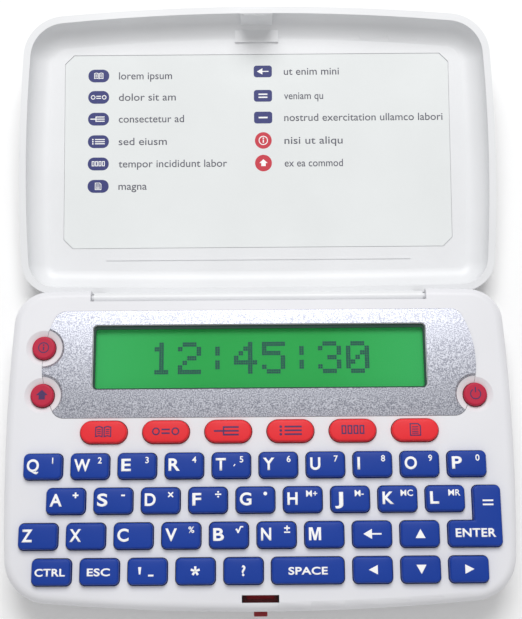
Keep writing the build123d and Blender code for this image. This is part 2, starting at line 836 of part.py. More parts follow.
# --- latch ------------------------------------------------------------------------------------
def make_latch():
    """The latch: push button, slide, hook and its two spring arms, moulded in one."""
    front = case_front - latch_proud
    back = hook_front + hook_thickness
    half = tab_half_width
    tip_half = latch_tip_half_width
    body = slab((-tip_half, front, latch_bottom), (tip_half, back, latch_top))
    body = fillet(body.faces().sort_by(Axis.Y)[0].edges(), latch_end_radius)
    body += slab((-half, tab_front - latch_end_gap, latch_bottom), (half, back, latch_top))
    nose_top = latch_nose_bottom + latch_nose_height
    body += slab((-half, hook_front, latch_bottom), (half, back, nose_top))
    tip = hook_front - latch_end_gap - latch_nose_bite
    blunt = latch_nose_bottom + latch_nose_height / 3
    nose = (
        (hook_front, latch_nose_bottom),
        (tip, latch_nose_bottom),
        (tip, blunt),
        (hook_front, nose_top),
    )
    body += bar(nose, tab_window_half_width - latch_end_gap)
    for side in (-1, 1):
        ends = sorted((side * half, side * (half + latch_arm_length)))
        low = (ends[0], back - latch_arm_thickness, latch_bottom)
        body += slab(low, (ends[1], back, latch_top))
    return body


# --- lid ---------------------------------------------------------------------------------------
def lid_hollow():
    """The hollow inside the lid, coved where it meets the walls."""
    hollow = raised(lid_outline(lid_wall), rim_height - 1, lid_floor)
    edges = hollow.faces().sort_by(Axis.Z)[-1].edges().sort_by(Axis.Y)
    return fillet(edges[-3:], lid_cove_radius)


def hinge_web():
    """The curved web from the lid's rear wall down to the hinge barrel, with its pins."""
    y = hinge_back
    z = hinge_height
    wall_back = hinge_back - hinge_ahead
    profile = (
        (wall_back - 0.9, rim_height + 2.6),
        (wall_back + 0.3, rim_height + 2.2),
        (y + 0.9, rim_height - 0.3),
        (y + barrel_radius, z),
        (y - barrel_radius, z),
        (wall_back, rim_height),
        (wall_back - 0.9, rim_height),
    )
    to_axis = Pos(0, y, z) * Rot(0, 90, 0)
    barrel = to_axis * Cylinder(barrel_radius, 2 * barrel_half_length)
    pins = to_axis * Cylinder(pin_radius, 2 * (barrel_half_length + pin_length))
    return bar(profile, web_half_length) + barrel + pins


def catch():
    """The lid's catch: a raised pad, and a tab with a window for the latch's nose."""
    pad_front = case_front + lid_wall / 2
    pad_low = lid_floor - catch_pad_height
    root = lid_floor + lid_bond
    pad_half = catch_pad_half_width
    pad = slab((-pad_half, pad_front, pad_low), (pad_half, catch_pad_back, root))
    tab = slab((-tab_half_width, tab_front, tab_bottom), (tab_half_width, tab_back, root))
    low = latch_nose_bottom - latch_nose_gap
    high = latch_nose_bottom + latch_nose_height + latch_nose_gap
    window = slab((-tab_window_half_width, -beyond, low), (tab_window_half_width, beyond, high))
    return pad + tab - window


def card_sketch(grow=0.0):
    """The card's outline with cut corners."""
    front = card_front - grow
    rear = card_rear + grow
    half = card_half_width + grow
    face = Pos(0, (front + rear) / 2) * Rectangle(2 * half, rear - front)
    return chamfer(face.vertices(), card_corner)


def shut_lid():
    """The lid in its shut position: a shallow tray with the hinge web and the catch."""
    lid = raised(lid_outline(0), rim_height, lid_top)
    lid = fillet(lid.faces().sort_by(Axis.Z)[-1].edges(), lid_edge_radius)
    lid -= lid_hollow()
    lid -= raised(card_sketch(card_clearance), lid_floor - 1, lid_floor + card_recess)
    rib = slab((-rib_half_length, rib_line, lid_floor - rib_height),
               (rib_half_length, rib_line + rib_width, lid_floor + lid_bond))
    return lid + [hinge_web(), catch(), rib]


def shut_card():
    """The printed card that lies in the lid's recess."""
    seat = lid_floor + card_recess
    return raised(card_sketch(), seat - card_thickness, seat)


# --- assembly ----------------------------------------------------------------------------------
def make_parts():
    """Every sub-part by node name, where it lies at rest."""
    parts = {
        "bottom_case": make_bottom_case(),
        "top_case": make_top_case(),
        "screen_bezel": make_bezel(),
        "screen_window": make_window(),
        "lcd_module": make_module(),
        "keypad_membrane": make_membrane(),
        "main_board": make_board(),
        "screws": make_screws(),
        "coin_cells": make_cells(),
        "battery_door": make_door(),
        "latch_button": make_latch(),
        "lid_shell": opened(shut_lid()),
        "key_guide_card": opened(shut_card()),
    }
    return parts | make_keys()


def main():
    """Write one STEP file for each sub-part."""
    os.makedirs("parts", exist_ok=True)
    for name, shape in make_parts().items():
        shape.label = name
        export_step(shape, f"parts/{name}.step")


main()
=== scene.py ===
"""Looks of a pocket electronic dictionary that lies open on a table.

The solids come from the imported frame. This script gives them their finishes, adds
the printing, the display's dots and the finer trim, and sets up floor, light and
camera. Everything is in metres, in the frame's own axes.
"""
from math import cos, pi, radians, sin

import bpy
from mathutils import Matrix, Vector


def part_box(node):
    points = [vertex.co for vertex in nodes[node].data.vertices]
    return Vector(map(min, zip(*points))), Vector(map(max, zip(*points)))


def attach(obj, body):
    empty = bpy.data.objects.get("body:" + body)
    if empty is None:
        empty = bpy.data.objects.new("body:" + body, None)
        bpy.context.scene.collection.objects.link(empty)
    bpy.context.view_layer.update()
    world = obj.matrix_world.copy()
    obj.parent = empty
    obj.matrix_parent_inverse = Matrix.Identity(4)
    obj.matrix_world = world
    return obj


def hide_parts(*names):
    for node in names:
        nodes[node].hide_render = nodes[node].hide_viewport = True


MM = 0.001

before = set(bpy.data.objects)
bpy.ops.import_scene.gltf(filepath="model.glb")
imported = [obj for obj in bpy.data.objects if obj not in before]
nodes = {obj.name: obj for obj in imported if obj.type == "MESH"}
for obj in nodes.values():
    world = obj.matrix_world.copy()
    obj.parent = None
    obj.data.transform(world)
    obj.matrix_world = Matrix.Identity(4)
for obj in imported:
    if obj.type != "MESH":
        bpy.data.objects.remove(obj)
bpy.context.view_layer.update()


# --- small helpers ----------------------------------------------------------------
def paint(red, green, blue):
    """A screen colour, 0 to 255, as the linear colour that a shader takes."""
    levels = []
    for value in (red, green, blue):
        value /= 255
        levels.append(value / 12.92 if value <= 0.04045 else ((value + 0.055) / 1.055) ** 2.4)
    return (*levels, 1.0)


def pick(piece):
    """Select this piece alone."""
    bpy.ops.object.select_all(action="DESELECT")
    piece.select_set(True)
    bpy.context.view_layer.objects.active = piece


def settle(piece, name, place, material):
    """Put a piece's place into its mesh, and give it its name and material."""
    piece.data.transform(place @ piece.matrix_world)
    piece.matrix_world = Matrix.Identity(4)
    piece.name = name
    piece.data.name = name
    piece.data.materials.clear()
    piece.data.materials.append(material)


# --- finishes ---------------------------------------------------------------------
def new_finish(name):
    """A material with its node tree and its shader."""
    material = bpy.data.materials.new(name)
    material.use_nodes = True
    tree = material.node_tree
    return material, tree, tree.nodes["Principled BSDF"]


def set_values(shader, values):
    """Set several inputs of a shader or texture."""
    for socket, value in values.items():
        shader.inputs[socket].default_value = value


def grain(tree, scale, detail=3.0):
    """Noise on the object's own coordinates."""
    place = tree.nodes.new("ShaderNodeTexCoord")
    noise = tree.nodes.new("ShaderNodeTexNoise")
    noise.inputs["Scale"].default_value = scale
    noise.inputs["Detail"].default_value = detail
    tree.links.new(place.outputs["Object"], noise.inputs["Vector"])
    return noise


def add_relief(tree, shader, height, depth):
    """A bump of real depth from a height between 0 and 1."""
    bump = tree.nodes.new("ShaderNodeBump")
    bump.inputs["Distance"].default_value = depth
    tree.links.new(height, bump.inputs["Height"])
    tree.links.new(bump.outputs["Normal"], shader.inputs["Normal"])


def ramp_between(tree, factor, low, high, start=0.3, end=0.7):
    """A colour that runs from low to high as the factor grows."""
    ramp = tree.nodes.new("ShaderNodeValToRGB")
    first, last = ramp.color_ramp.elements
    first.position = start
    last.position = end
    first.color = low
    last.color = high
    tree.links.new(factor, ramp.inputs["Fac"])
    return ramp.outputs["Color"]


def spread(tree, factor, low, high):
    """A number between low and high as the factor grows from 0.3 to 0.7."""
    scale = tree.nodes.new("ShaderNodeMapRange")
    scale.inputs["From Min"].default_value = 0.3
    scale.inputs["From Max"].default_value = 0.7
    scale.inputs["To Min"].default_value = low
    scale.inputs["To Max"].default_value = high
    tree.links.new(factor, scale.inputs["Value"])
    return scale.outputs["Result"]


def moulded_plastic(name, colour, roughness, grain_scale=3500.0, tone=0.04, **values):
    """Injection-moulded plastic: faint shifts of tone and gloss, and a fine skin."""
    material, tree, shader = new_finish(name)
    cloud = grain(tree, 45.0, 2.0)
    darker = (*(level * (1 - tone) for level in colour[:3]), 1.0)
    tint = ramp_between(tree, cloud.outputs["Fac"], darker, colour)
    tree.links.new(tint, shader.inputs["Base Color"])
    skin = grain(tree, grain_scale)
    rough = spread(tree, skin.outputs["Fac"], roughness - 0.05, roughness + 0.05)
    tree.links.new(rough, shader.inputs["Roughness"])
    add_relief(tree, shader, skin.outputs["Fac"], 0.004 * MM)
    set_values(shader, {"IOR": 1.49, **values})
    return material


def low_mask(tree, height):
    """One below a height, and zero above it."""
    place = tree.nodes.new("ShaderNodeTexCoord")
    split = tree.nodes.new("ShaderNodeSeparateXYZ")
    tree.links.new(place.outputs["Object"], split.inputs["Vector"])
    below = tree.nodes.new("ShaderNodeMath")
    below.operation = "LESS_THAN"
    below.inputs[1].default_value = height
    tree.links.new(split.outputs["Z"], below.inputs[0])
    return below.outputs["Value"]


def recolour(tree, shader, factor, colour):
    """Mix another colour over the shader's own where the factor is one."""
    mix = tree.nodes.new("ShaderNodeMix")
    mix.data_type = "RGBA"
    tree.links.new(factor, mix.inputs["Factor"])
    tree.links.new(shader.inputs["Base Color"].links[0].from_socket, mix.inputs[6])
    mix.inputs[7].default_value = colour
    tree.links.new(mix.outputs[2], shader.inputs["Base Color"])


def silver_paint(bare_plastic, dish_height):
    """Silver lacquer with a fine sparkle; the dishes in it are bare white plastic."""
    material, tree, shader = new_finish("silver_lacquer")
    flakes = grain(tree, 3300.0, 1.0)
    dull, bright = paint(134, 136, 148), paint(198, 200, 209)
    colour = ramp_between(tree, flakes.outputs["Fac"], dull, bright, 0.38, 0.62)
    tree.links.new(colour, shader.inputs["Base Color"])
    recolour(tree, shader, low_mask(tree, dish_height), bare_plastic)
    metal = tree.nodes.new("ShaderNodeMapRange")
    metal.inputs["To Min"].default_value = 0.6
    metal.inputs["To Max"].default_value = 0.0
    tree.links.new(low_mask(tree, dish_height), metal.inputs["Value"])
    tree.links.new(metal.outputs["Result"], shader.inputs["Metallic"])
    tree.links.new(spread(tree, flakes.outputs["Fac"], 0.3, 0.38), shader.inputs["Roughness"])
    add_relief(tree, shader, flakes.outputs["Fac"], 0.003 * MM)
    return material


def printed_ink(name, colour, roughness=0.5):
    """Opaque printing ink with a slightly uneven film."""
    material, tree, shader = new_finish(name)
    film = grain(tree, 1800.0)
    thin = (*(min(level * 1.12 + 0.004, 1.0) for level in colour[:3]), 1.0)
    tint = ramp_between(tree, film.outputs["Fac"], colour, thin)
    tree.links.new(tint, shader.inputs["Base Color"])
    add_relief(tree, shader, film.outputs["Fac"], 0.002 * MM)
    set_values(shader, {"Roughness": roughness})
    return material


def lit_glass():
    """The display: green backlight, paler toward both ends."""
    material, tree, shader = new_finish("lit_display")
    place = tree.nodes.new("ShaderNodeTexCoord")
    split = tree.nodes.new("ShaderNodeSeparateXYZ")
    tree.links.new(place.outputs["Object"], split.inputs["Vector"])
    side = tree.nodes.new("ShaderNodeMath")
    side.operation = "ABSOLUTE"
    tree.links.new(split.outputs["X"], side.inputs[0])
    reach = tree.nodes.new("ShaderNodeMapRange")
    reach.inputs["From Min"].default_value = 18 * MM
    reach.inputs["From Max"].default_value = 46 * MM
    tree.links.new(side.outputs["Value"], reach.inputs["Value"])
    deep, pale = paint(46, 184, 86), paint(62, 198, 106)
    glow = ramp_between(tree, reach.outputs["Result"], deep, pale, 0.0, 1.0)
    tree.links.new(glow, shader.inputs["Base Color"])
    tree.links.new(glow, shader.inputs["Emission Color"])
    film = grain(tree, 2500.0)
    add_relief(tree, shader, film.outputs["Fac"], 0.001 * MM)
    sheen = {"Roughness": 0.45, "Specular IOR Level": 0.15}
    set_values(shader, {**sheen, "Emission Strength": 0.12})
    return material


def clear_acrylic():
    """The display's clear window."""
    material, tree, shader = new_finish("clear_acrylic")
    film = grain(tree, 400.0)
    add_relief(tree, shader, film.outputs["Fac"], 0.001 * MM)
    set_values(shader, {
        "Base Color": (0.02, 0.06, 0.03, 1.0), "Roughness": 0.06, "Alpha": 0.1, "IOR": 1.49,
    })
    return material


def bright_metal(name, colour, roughness):
    """Plated steel with faint drawn streaks."""
    material, tree, shader = new_finish(name)
    streaks = grain(tree, 900.0, 6.0)
    rough = spread(tree, streaks.outputs["Fac"], roughness - 0.07, roughness + 0.1)
    tree.links.new(rough, shader.inputs["Roughness"])
    add_relief(tree, shader, streaks.outputs["Fac"], 0.003 * MM)
    set_values(shader, {"Base Color": colour, "Metallic": 1.0})
    return material


def board_lacquer():
    """Green solder resist with paler tracks showing through."""
    material, tree, shader = new_finish("board_lacquer")
    tracks = tree.nodes.new("ShaderNodeTexBrick")
    place = tree.nodes.new("ShaderNodeTexCoord")
    tree.links.new(place.outputs["Object"], tracks.inputs["Vector"])
    set_values(tracks, {
        "Color1": paint(22, 92, 52), "Color2": paint(26, 104, 60), "Mortar": paint(60, 140, 84),
        "Scale": 180.0, "Mortar Size": 0.02,
    })
    tree.links.new(tracks.outputs["Color"], shader.inputs["Base Color"])
    add_relief(tree, shader, tracks.outputs["Fac"], 0.02 * MM)
    set_values(shader, {"Roughness": 0.3})
    return material


def footed_plastic(plastic_colour, rubber_colour, height):
    """The lower shell's plastic, with its feet of grey rubber below a height."""
    material = moulded_plastic("case_underside", plastic_colour, 0.42)
    tree = material.node_tree
    recolour(tree, tree.nodes["Principled BSDF"], low_mask(tree, height), rubber_colour)
    return material


FOOT_TOP = 0.38 * MM     # just below the case's underside
DISH_RIM = 15.13 * MM    # just below the silver frame's lowest edge
case_white = paint(233, 233, 237)
lid_white = paint(234, 235, 237)
blue = paint(22, 62, 158)
pill_red = paint(236, 48, 56)
button_red = paint(192, 38, 68)
soft_sheen = {"Specular IOR Level": 0.22}
finishes = {
    "case_white": moulded_plastic("case_plastic", case_white, 0.4),
    "lid_white": moulded_plastic("lid_plastic", lid_white, 0.36),
    "underside": footed_plastic(case_white, paint(92, 92, 96), FOOT_TOP),
    "silver": silver_paint(case_white, DISH_RIM),
    "window": clear_acrylic(),
    "display": lit_glass(),
    "key_blue": moulded_plastic("key_blue_plastic", blue, 0.42, tone=0.08, **soft_sheen),
    "key_red": moulded_plastic("key_red_plastic", pill_red, 0.42, tone=0.06, **soft_sheen),
    "button_red": moulded_plastic("button_red_plastic", button_red, 0.42, tone=0.06, **soft_sheen),
    "latch_red": moulded_plastic("latch_red_plastic", paint(150, 22, 32), 0.35),
    "card": moulded_plastic("card_stock", paint(232, 235, 235), 0.55, grain_scale=900.0),
    "membrane": moulded_plastic("mat_silicone", paint(150, 152, 158), 0.6),
    "board": board_lacquer(),
    "steel": bright_metal("plated_steel", paint(196, 196, 200), 0.28),
    "cell": bright_metal("cell_steel", paint(205, 205, 208), 0.22),
    "white_ink": printed_ink("white_ink", paint(250, 250, 250)),
    "purple_ink": printed_ink("purple_ink", paint(56, 12, 84)),
    "navy_ink": printed_ink("navy_ink", paint(38, 44, 112)),
    "red_ink": printed_ink("red_ink", paint(196, 38, 58)),
    "grey_ink": printed_ink("grey_ink", paint(96, 96, 108)),
    "dots": printed_ink("display_dots", paint(8, 84, 82), 0.6),
    # painted shade: the dark green of the display's shaded edge, used for the band round the window
    "shade_band": printed_ink("painted_shade_ink", paint(20, 58, 48), 0.7),
}


def dress(node, finish):
    """Give a solid of the frame its finish."""
    mesh = nodes[node].data
    if not mesh.materials:
        mesh.materials.append(finish)
    for slot in nodes[node].material_slots:
        slot.material = finish


plain_finishes = {
    "bottom_case": "underside", "top_case": "case_white", "battery_door": "case_white",
    "screen_bezel": "silver", "screen_window": "window", "lcd_module": "display",
    "keypad_membrane": "membrane", "main_board": "board", "screws": "steel", "coin_cells": "cell",
    "lid_shell": "lid_white", "key_guide_card": "card", "latch_button": "latch_red",
}
for node, finish in plain_finishes.items():
    dress(node, finishes[finish])
for node in nodes:
    if node.startswith("key_") and node != "key_guide_card":
        dress(node, finishes["key_blue"])
    elif node.startswith("pill_"):
        dress(node, finishes["key_red"])
    elif node.startswith("button_"):
        dress(node, finishes["button_red"])


# --- printing ------------------------------------------------------------------------
INK_DEPTH = 0.045 * MM
INK_SINK = 0.02 * MM     # how far the print's underside lies below the surface


def cap_height_of_font():
    """Height of a capital at size 1, and so the scale for lettering."""
    bpy.ops.object.select_all(action="DESELECT")
    bpy.ops.object.text_add()
    sample = bpy.context.object
    sample.data.body = "H"
    bpy.context.view_layer.update()
    height = sample.dimensions.y
    bpy.data.objects.remove(sample)
    return height


FONT_CAP = cap_height_of_font()


def lettering(words, cap, width=None, bold=0.026, left=None):
    """Letters of a cap height, centred on the origin or starting at a left edge."""
    bpy.ops.object.select_all(action="DESELECT")
    bpy.ops.object.text_add()
    piece = bpy.context.object
    piece.data.body = words
    piece.data.offset = bold
    piece.data.space_character = 1.0 + 2.0 * bold
    bpy.ops.object.convert(target="MESH")
    piece = bpy.context.object
    points = [vertex.co for vertex in piece.data.vertices]
    low = min(point.x for point in points)
    high = max(point.x for point in points)
    scale = cap / (FONT_CAP + 2 * bold)
    stretch = scale if width is None else width / (high - low)
    middle = FONT_CAP / 2
    start = -(low + high) / 2 * stretch if left is None else left - low * stretch
    place = Matrix.Translation((start, -middle * scale, 0)) @ Matrix.Diagonal((stretch, scale, 1, 1))
    piece.data.transform(place)
    return piece


def flat_shape(outlines):
    """A flat filled shape from closed outlines in millimetres; inner ones are holes."""
    curve = bpy.data.curves.new("outline", "CURVE")
    curve.dimensions = "2D"
    curve.fill_mode = "BOTH"
    for outline in outlines:
        spline = curve.splines.new("POLY")
        spline.points.add(len(outline) - 1)
        for point, (x, y) in zip(spline.points, outline):
            point.co = (x * MM, y * MM, 0, 1)
        spline.use_cyclic_u = True
    piece = bpy.data.objects.new("outline", curve)
    bpy.context.scene.collection.objects.link(piece)
    pick(piece)
    bpy.ops.object.convert(target="MESH")
    return bpy.context.object


def joined(pieces):
    """Several flat meshes as one."""
    bpy.ops.object.select_all(action="DESELECT")
    for piece in pieces:
        piece.select_set(True)
    bpy.context.view_layer.objects.active = pieces[0]
    if len(pieces) > 1:
        bpy.ops.object.join()
    return bpy.context.object


def thicken(piece, cuts):
    """Give flat print the thickness of its ink, upward from the surface."""
    pick(piece)
    bpy.ops.object.mode_set(mode="EDIT")
    bpy.ops.mesh.select_all(action="SELECT")
    bpy.ops.mesh.remove_doubles(threshold=0.002 * MM)
    if cuts:
        bpy.ops.mesh.subdivide(number_cuts=cuts)
    bpy.ops.mesh.extrude_region_move(TRANSFORM_OT_translate={"value": (0, 0, INK_DEPTH)})
    bpy.ops.mesh.select_all(action="SELECT")
    bpy.ops.mesh.normals_make_consistent(inside=False)
    bpy.ops.object.mode_set(mode="OBJECT")
    return piece


def print_on(name, pieces, place, ink, body, swollen=None):
    """Join flat marks, give them thickness and print them at a place on a body.

    A swollen node's print is bent to that node's top.
    """
    piece = thicken(joined(pieces), 2 if swollen else 0)
    settle(piece, name, place @ Matrix.Translation((0, 0, -INK_SINK)), ink)
    if swollen:
        swell(piece, *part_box(swollen))
    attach(piece, body)


def moved(piece, x, y):
    """Shift a flat mark by millimetres."""
    piece.data.transform(Matrix.Translation((x * MM, y * MM, 0)))
    return piece


# --- outlines of the signs, in millimetres --------------------------------------------
def circle(radius, x=0.0, y=0.0, count=32):
    angles = [2 * pi * i / count for i in range(count)]
    return [(x + radius * cos(angle), y + radius * sin(angle)) for angle in angles]


def box(x, y, width, height):
    """A rectangle about its middle."""
    w, h = width / 2, height / 2
    return [(x - w, y - h), (x + w, y - h), (x + w, y + h), (x - w, y + h)]


def soft_box(x, y, width, height, radius, steps=6):
    """A rectangle with rounded corners."""
    points = []
    for quarter, (sx, sy) in enumerate(((1, 1), (-1, 1), (-1, -1), (1, -1))):
        cx = x + sx * (width / 2 - radius)
        cy = y + sy * (height / 2 - radius)
        for step in range(steps + 1):
            angle = (quarter + step / steps) * pi / 2
            points.append((cx + radius * cos(angle), cy + radius * sin(angle)))
    return points


def arc_band(radius, thickness, start, end, count=28):
    """A piece of a ring between two angles in degrees."""
    inner = radius - thickness / 2
    outer = radius + thickness / 2
    angles = [radians(start + (end - start) * i / count) for i in range(count + 1)]
    there = [(outer * cos(a), outer * sin(a)) for a in angles]
    back = [(inner * cos(a), inner * sin(a)) for a in reversed(angles)]
    return there + back


def at(outline, x, y, scale=1.0):
    """An outline scaled, then shifted."""
    return [(x + scale * px, y + scale * py) for px, py in outline]


def triangle(direction, size=2.6):
    """A filled arrowhead."""
    w, h = size / 2, size * 0.45
    shapes = {
        "up": [(-w, -h), (w, -h), (0, h)],
        "down": [(-w, h), (0, -h), (w, h)],
        "left": [(h, -w * 0.92), (h, w * 0.92), (-h, 0)],
        "right": [(-h, -w * 0.92), (h, 0), (-h, w * 0.92)],
    }
    return shapes[direction]


def back_arrow():
    """A long arrow to the left."""
    return [(-2.4, 0), (-0.15, 1.3), (-0.15, 0.2), (2.35, 0.2), (2.35, -0.2),
            (-0.15, -0.2), (-0.15, -1.3)]


def root_sign():
    """The square root sign."""
    return [(-1.0, 0.0), (-0.6, 0.3), (-0.25, -0.35), (0.25, 0.85), (1.05, 0.85), (1.05, 0.5),
            (0.5, 0.5), (-0.15, -0.95), (-0.45, -0.95), (-0.72, -0.2), (-0.85, -0.25)]


# --- swollen key tops ------------------------------------------------------------------
CROWN = 0.32 * MM
KEY_EDGE = 15.3 * MM     # what lies lower keeps its shape


def swell(piece, low, high):
    """Lower a top toward its rim, so that it swells in the middle."""
    for vertex in piece.data.vertices:
        point = vertex.co
        if point.z > KEY_EDGE:
            across = abs(2 * point.x - low.x - high.x) / (high.x - low.x)
            along = abs(2 * point.y - low.y - high.y) / (high.y - low.y)
            share = min((point.z - KEY_EDGE) / (high.z - KEY_EDGE), 1.0)
            point.z -= CROWN * share * (1 - (1 - min(across, 1) ** 3) * (1 - min(along, 1) ** 3))


def swollen_key(node, finish):
    """A finer copy of a key, cut into narrow strips and swollen."""
    source = nodes[node]
    low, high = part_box(node)
    piece = bpy.data.objects.new(f"{node}_cap", source.data.copy())
    bpy.context.scene.collection.objects.link(piece)
    piece.data.transform(source.matrix_world)
    pick(piece)
    bpy.ops.object.mode_set(mode="EDIT")
    bpy.ops.mesh.select_all(action="SELECT")
    bpy.ops.mesh.remove_doubles(threshold=0.001 * MM)
    for axis, count in ((0, 12), (1, 9)):
        normal = (1, 0, 0) if axis == 0 else (0, 1, 0)
        for step in range(1, count):
            middle = [0, 0, 0]
            middle[axis] = low[axis] + (high[axis] - low[axis]) * step / count
            bpy.ops.mesh.select_all(action="SELECT")
            bpy.ops.mesh.bisect(plane_co=middle, plane_no=normal)
    bpy.ops.object.mode_set(mode="OBJECT")
    swell(piece, low, high)
    bpy.ops.object.shade_smooth_by_angle(angle=radians(28))
    piece.data.name = piece.name
    piece.data.materials.clear()
    piece.data.materials.append(finish)
    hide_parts(node)
    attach(piece, node)


for node in list(nodes):
    if node.startswith("key_") and node != "key_guide_card":
        swollen_key(node, finishes["key_blue"])
    elif node.startswith("pill_"):
        swollen_key(node, finishes["key_red"])


# --- key legends ---------------------------------------------------------------------
LETTER_WIDTHS = {         # as shares of the letter's height
    "A": 1.0, "B": 0.86, "C": 0.9, "D": 0.88, "E": 0.78, "F": 0.72, "G": 0.93, "H": 0.82,
    "I": 0.21,
    "J": 0.66, "K": 0.91, "L": 0.71, "N": 0.81, "O": 0.98, "P": 0.8, "Q": 0.98, "R": 0.92,
    "S": 0.83, "T": 0.82, "U": 0.82, "V": 0.93, "W": 1.3, "X": 0.93, "Y": 0.92, "Z": 0.86,
}
LETTER_M = [              # drawn here, since the font's own one closes up when it is bold
    (0, -0.5), (0, 0.5), (0.29, 0.5), (0.48, -0.17), (0.67, 0.5), (0.96, 0.5), (0.96, -0.5),
    (0.77, -0.5), (0.77, 0.26), (0.57, -0.5), (0.39, -0.5), (0.19, 0.26), (0.19, -0.5),
]
LETTER_CAP = 3.3 * MM
SUPER_CAP = 1.65 * MM
WORD_CAP = 1.95 * MM
SUPER_PLACE = (2.72, 1.42)
WIDE_SUPER_SHIFT = 0.4    # how much further left a sign of two characters sits
LETTER_LEFT = -4.1 * MM
LETTER_RISE = 0.15 * MM

superscripts = {
    "q": "1", "w": "2", "e": "3", "r": "4", "t": "5",
    "y": "6", "u": "7", "i": "8", "o": "9", "p": "0",
    "h": "M+", "j": "M-", "k": "MC", "l": "MR", "v": "%",
}
signs = {
    "a": [[box(0, 0, 1.5, 0.42)], [box(0, 0, 0.42, 1.5)]],
    "s": [[box(0, -0.1, 1.0, 0.42)]],
    "d": [[[(-0.75, 0.5), (-0.5, 0.75), (0.75, -0.5), (0.5, -0.75)]],
          [[(-0.75, -0.5), (-0.5, -0.75), (0.75, 0.5), (0.5, 0.75)]]],
    "f": [[box(0, 0, 1.6, 0.36)], [circle(0.24, 0, 0.62, 16)], [circle(0.24, 0, -0.62, 16)]],
    "g": [[circle(0.48, -0.1, 0.1)]],
    "b": [[root_sign()]],
    "n": [[box(0, 0.25, 1.5, 0.38)], [box(0, 0.25, 0.38, 1.3)], [box(0, -0.82, 1.6, 0.34)]],
}


def print_legend(node, marks):
    """White print on a blue key."""
    name = node.replace("key_", "legend_")
    print_on(name, marks, key_top(node), finishes["white_ink"], node, node)


def key_top(node):
    """The middle of a key's top face."""
    low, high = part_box(node)
    return Matrix.Translation(((low.x + high.x) / 2, (low.y + high.y) / 2, high.z))


def letter_key(letter):
    """A letter at the left of its key, with its second sign at the upper right."""
    if letter == "m":
        marks = [moved(flat_shape([at(LETTER_M, 0, 0, LETTER_CAP / MM)]), LETTER_LEFT / MM, 0)]
    else:
        width = LETTER_WIDTHS[letter.upper()] * LETTER_CAP
        marks = [lettering(letter.upper(), LETTER_CAP, width, left=LETTER_LEFT)]
    marks[0].data.transform(Matrix.Translation((0, LETTER_RISE, 0)))
    x, y = SUPER_PLACE
    if letter in superscripts:
        words = superscripts[letter]
        mark = lettering(words, SUPER_CAP, bold=0.017)
        shift = WIDE_SUPER_SHIFT if len(words) > 1 else 0.0
        marks.append(moved(mark, x - shift, y))
    for outlines in signs.get(letter, ()):
        marks.append(moved(flat_shape(outlines), x, y))
    if letter == "t":
        marks.append(flat_shape([[(0.55, -0.35), (0.75, -0.45), (1.15, 0.1), (0.9, 0.2)]]))
    print_legend(f"key_{letter}", marks)


for letter in "qwertyuiopasdfghjklzxcvbnm":
    letter_key(letter)


def sign_key(name, marks, shift=(0.0, 0.0)):
    """A sign or a word in the middle of its key, or shifted from there."""
    for mark in marks:
        moved(mark, *shift)
    print_legend(f"key_{name}", marks)


sign_key("back", [flat_shape([back_arrow()])])
for name in ("up", "left", "down", "right"):
    sign_key(name, [flat_shape([triangle(name)])])
sign_key("ctrl", [lettering("CTRL", WORD_CAP, 7.9 * MM)], (-0.2, -0.15))
sign_key("esc", [lettering("ESC", WORD_CAP, 6.0 * MM)], (-0.1, -0.15))
sign_key("space", [lettering("SPACE", WORD_CAP, 10.2 * MM)], (0.0, -0.15))
sign_key("quote", [flat_shape([[(-2.3, 1.1), (-1.5, 1.1), (-1.7, -0.75), (-2.1, -0.75)]]),
                   flat_shape([box(1.0, -1.05, 1.4, 0.45)])])
star = [flat_shape([[(-0.24, 0), (0.24, 0), (0.3, 1.2), (-0.3, 1.2)]]) for _ in range(5)]
for i, arm in enumerate(star):
    arm.data.transform(Matrix.Rotation(2 * pi * i / 5, 4, "Z"))
sign_key("star", star)
sign_key("question", [lettering("?", 2.7 * MM)])
enter_marks = [
    moved(lettering("ENTER", 2.25 * MM, 10.6 * MM), 0.0, -4.45),
    moved(flat_shape([box(0, 0.53, 2.8, 0.42)]), 3.55, 3.35),
    moved(flat_shape([box(0, -0.53, 2.8, 0.42)]), 3.55, 3.35),
]
print_legend("key_enter", enter_marks)


# --- signs on the red keys -----------------------------------------------------------
def book_sign():
    """An open book: two pages with lines on them."""
    page = [(0.12, -1.5), (1.1, -1.2), (2.15, -1.45), (2.15, 1.35), (1.1, 1.6), (0.12, 1.3)]
    inner = [(0.42, -1.1), (1.1, -0.88), (1.85, -1.08), (1.85, 1.05), (1.1, 1.28), (0.42, 1.02)]
    shapes = []
    for side in (1, -1):
        shapes.append([[(side * x, y) for x, y in outline] for outline in (page, inner)])
        shapes += [[at(box(0, 0, 1.0, 0.24), side * 1.13, y)] for y in (0.6, 0.1, -0.4)]
    return shapes


def sheet_sign():
    """A sheet of paper with lines and a turned corner."""
    page = [(-1.5, -1.7), (1.5, -1.7), (1.5, 1.0), (0.8, 1.7), (-1.5, 1.7)]
    inner = [(-1.2, -1.4), (1.2, -1.4), (1.2, 0.85), (0.65, 1.4), (-1.2, 1.4)]
    lines = [[at(box(0, 0, 1.7, 0.26), -0.05, y)] for y in (0.7, 0.1, -0.5, -1.0)]
    return [[page, inner], *lines]


